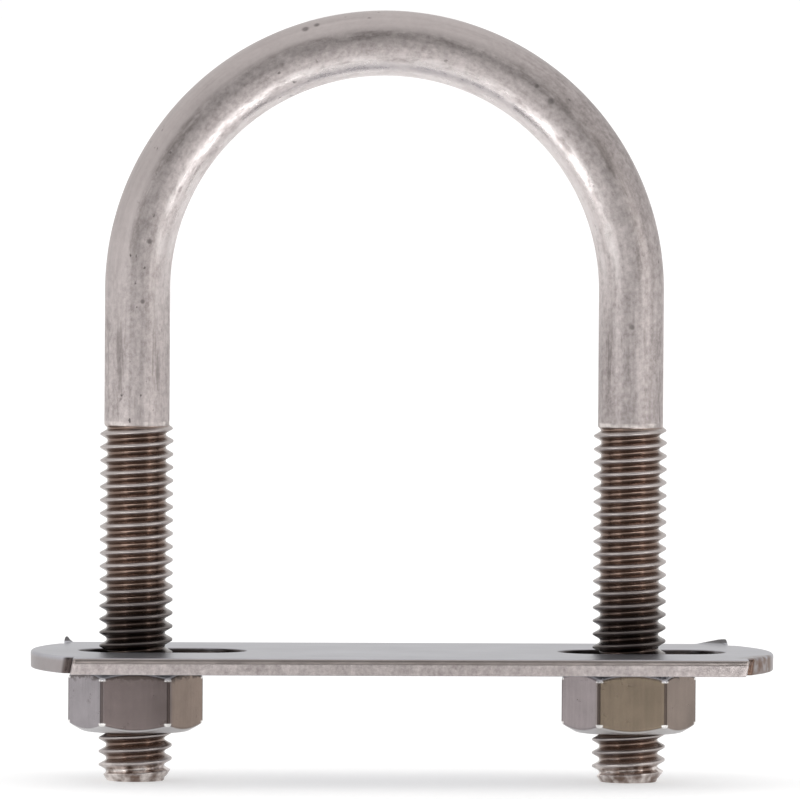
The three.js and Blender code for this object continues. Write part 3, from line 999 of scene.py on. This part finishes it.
def machined_nut_finish(name, axis, left, front, right, scuffing, seed):
    """Bright nut: drawn hexagon bar whose left, front and right sides carry painted shade and reflection in
    different tones, a little grime with painted shade under the plate, and painted highlights and dark
    painted reflections on its edges and chamfers.
    """
    material, tree = new_finish(name)
    place = tree.add("ShaderNodeTexCoord", output=3)
    x, y, z = place.parts()
    drawn = tree.noise(tree.vector(x, y, z * 0.05), 3000, detail=2, seed=seed)
    clouds = tree.noise(place, 190, detail=5, seed=seed + 1)
    smudge = tree.noise(place, 700, detail=6, roughness=0.7, seed=seed + 2)
    tint = tree.blend((x - axis).ramp(-SIDE_SHARE[1], -SIDE_SHARE[0]), left, front)
    tint = tree.blend((x - axis).ramp(*SIDE_SHARE), tint, right)
    shade = 1 + (drawn - 0.5) * 0.3 + (clouds - 0.5) * 0.9 + (smudge - 0.5) * 0.3
    colour = tree.add("ShaderNodeVectorMath", {"operation": "SCALE"}, {"Vector": tint, "Scale": shade})

    reach = ((x - axis) * (x - axis) + y * y).power(0.5)
    from_end = (NUT_HIGH - NUT_LOW) / 2 - (z - (NUT_HIGH + NUT_LOW) / 2).abs()
    on_edge = reach.ramp(*WORN_EDGE)
    at_point = from_end.ramp(0.45 * MM, 0.6 * MM) * (1 - from_end.ramp(1.05 * MM, 1.2 * MM))
    at_point = at_point * reach.ramp(*WORN_POINT)
    above_chamfer = from_end - (reach - NUT_SIZES["Face radius"]) * math.tan(CHAMFER)
    on_chamfer = (1 - above_chamfer.ramp(0.02 * MM, 0.14 * MM)) * from_end.ramp(0.02 * MM, 0.08 * MM)
    # Grime in patches, thickened near the top by painted shade under the plate.
    near_top = (z - NUT_HIGH).ramp(-1.6 * MM, -0.5 * MM)
    scuffed = tree.noise(tree.vector(x, y, z * 1.6), 900, detail=5, roughness=0.7, seed=seed + 3)
    dirt = (scuffed - 0.1 + near_top * scuffing).ramp(0.48, 0.6) * (0.25 + near_top * 0.6)
    colour = tree.blend(dirt, colour, (0.07, 0.055, 0.048))
    # Painted highlight: the chamfers are made paler.
    colour = tree.blend(on_chamfer * 0.7, colour, (0.74, 0.73, 0.735))
    colour = tree.blend(on_edge * 0.85, colour, (0.05, 0.038, 0.035))
    colour = tree.blend(at_point * 0.9, colour, (0.92, 0.9, 0.88))
    roughness = 0.25 + (smudge - 0.5) * 0.14 + dirt * 0.2
    steel(tree, colour, roughness, drawn * 0.3 + clouds * 0.6 + smudge * 0.25, 0.02 * MM, edge=0.8)
    return material


# ---- The studio ---------------------------------------------------------------------------------------

CAMERA_DISTANCE = 1400 * MM
CAMERA_HEIGHT = 86 * MM  # above the plate's upper face
CAMERA_TURN = math.radians(2.55)  # how far it stands towards the left end of the object
CAMERA_ROLL = math.radians(0.35)
AIM = Vector((1.7, 0, 26.8)) * MM
VIEW_WIDTH = 85.25 * MM  # how much is in view from side to side, at the legs
FLOOR_REACH = 6.0
STRIP_SIZE = (0.2, 0.6)
LAMP_HEIGHT = 1.0
LAMP_CONE = math.radians(4.6)


def pale_floor():
    """A wide, back-lit floor with a faint, even grain."""
    corners = [(-FLOOR_REACH, -FLOOR_REACH), (FLOOR_REACH, -FLOOR_REACH)]
    corners += [(FLOOR_REACH, FLOOR_REACH), (-FLOOR_REACH, FLOOR_REACH)]
    mesh = bpy.data.meshes.new("floor")
    mesh.from_pydata([(x, y, LEG_END) for x, y in corners], [], [(0, 1, 2, 3)])
    material, tree = new_finish("pale floor")
    place = tree.add("ShaderNodeTexCoord", output=3)
    colour = tree.blend(tree.noise(place, 60, detail=2), (0.62, 0.62, 0.62), (0.66, 0.66, 0.66))
    values = {"Base Color": colour, "Roughness": 0.9}
    values |= {"Emission Color": (1, 1, 1, 1), "Emission Strength": 0.45}
    shader = tree.add("ShaderNodeBsdfPrincipled", values=values)
    tree.add("ShaderNodeOutputMaterial", values=[shader])
    mesh.materials.append(material)
    floor = bpy.data.objects.new("floor", mesh)
    bpy.context.scene.collection.objects.link(floor)


def studio_sky():
    """Soft light from above, behind and the sides, with a dark room in front."""
    world = bpy.data.worlds.new("studio")
    world.use_nodes = True
    bpy.context.scene.world = world
    tree = Tree(world.node_tree)
    _, y, z = tree.add("ShaderNodeTexCoord", output=0).parts()
    room = (-y).ramp(0.42, 0.8) * (1 - z.ramp(0.6, 0.85))
    level = (1.02 + z.ramp(0.3, 0.9) * 0.1) * (1 - room * 0.72)
    background = tree.add("ShaderNodeBackground", values={"Color": (1.0, 0.995, 0.99, 1), "Strength": level})
    tree.add("ShaderNodeOutputWorld", values=[background])


def strip_light(name, place, power, colour):
    """A tall, narrow softbox that faces the middle of the object."""
    light = bpy.data.lights.new(name, "AREA")
    light.shape = "RECTANGLE"
    light.size, light.size_y = STRIP_SIZE
    light.energy = power
    light.color = colour
    box = bpy.data.objects.new(name, light)
    box.location = place
    aim = AIM - Vector(place)
    box.rotation_euler = aim.to_track_quat("-Z", "Y").to_euler()
    bpy.context.scene.collection.objects.link(box)


def floor_lamp(name, x, y, power):
    """A narrow lamp straight above a spot on the floor, which throws the light back up under the bow."""
    light = bpy.data.lights.new(name, "SPOT")
    light.energy = power
    light.spot_size = LAMP_CONE
    light.spot_blend = 0.6
    light.shadow_soft_size = 0.01
    lamp = bpy.data.objects.new(name, light)
    lamp.location = (x, y, LAMP_HEIGHT)
    bpy.context.scene.collection.objects.link(lamp)


def camera():
    data = bpy.data.cameras.new("camera")
    data.lens = data.sensor_width * CAMERA_DISTANCE / VIEW_WIDTH
    data.clip_start, data.clip_end = 0.05, 50
    eye = bpy.data.objects.new("camera", data)
    eye.location = (
        -CAMERA_DISTANCE * math.sin(CAMERA_TURN),
        -CAMERA_DISTANCE * math.cos(CAMERA_TURN),
        PLATE_TOP + CAMERA_HEIGHT,
    )
    eye.rotation_mode = "QUATERNION"
    roll = Quaternion((0, 0, 1), CAMERA_ROLL)
    eye.rotation_quaternion = (AIM - eye.location).to_track_quat("-Z", "Y") @ roll
    bpy.context.scene.collection.objects.link(eye)
    bpy.context.scene.camera = eye


# ---- Assembly -----------------------------------------------------------------------------------------

rod_finish = drawn_rod_finish()
rod = grown_mesh(bolt_tree(), BOLT_SIZES, rod_finish)
keep_piece("bent_rod", rod, rod_finish, "bolt", "u_bolt")

keep_piece("stamped_plate", plate_mesh(), stamped_plate_finish(), "plate", "clamp_plate")

nuts = nut_tree()
NUTS = [  # name, side, degrees from square, painted shade and reflection of its left, front and right sides, painted shade under the plate, seed
    ("left", -1, -2.0, (0.28, 0.258, 0.27), (0.152, 0.124, 0.12), (0.24, 0.186, 0.155), 0.24, 21),
    ("right", 1, 0.0, (0.295, 0.258, 0.262), (0.198, 0.157, 0.118), (0.215, 0.17, 0.145), 0.06, 31),
]
for name, side, degrees, *looks in NUTS:
    finish = machined_nut_finish(f"machined nut {name}", side * BOW_RADIUS, *looks)
    sizes = {**NUT_SIZES, "Axis": side * BOW_RADIUS, "Turned": math.radians(degrees)}
    mesh = grown_mesh(nuts, sizes, finish)
    keep_piece(f"hex_nut_{name}", mesh, finish, f"nut_{name}", f"nut_{name}")

pale_floor()
studio_sky()
strip_light("left strip", (-0.9, -0.85, 0.1), 1.3, (1, 1, 1))
strip_light("right strip", (0.95, -0.8, 0.1), 1.7, (1, 0.97, 0.93))
floor_lamp("left floor lamp", -0.063, -0.056, 140)
floor_lamp("right floor lamp", 0.065, -0.056, 150)
camera()
bpy.context.scene.view_settings.view_transform = "Standard"
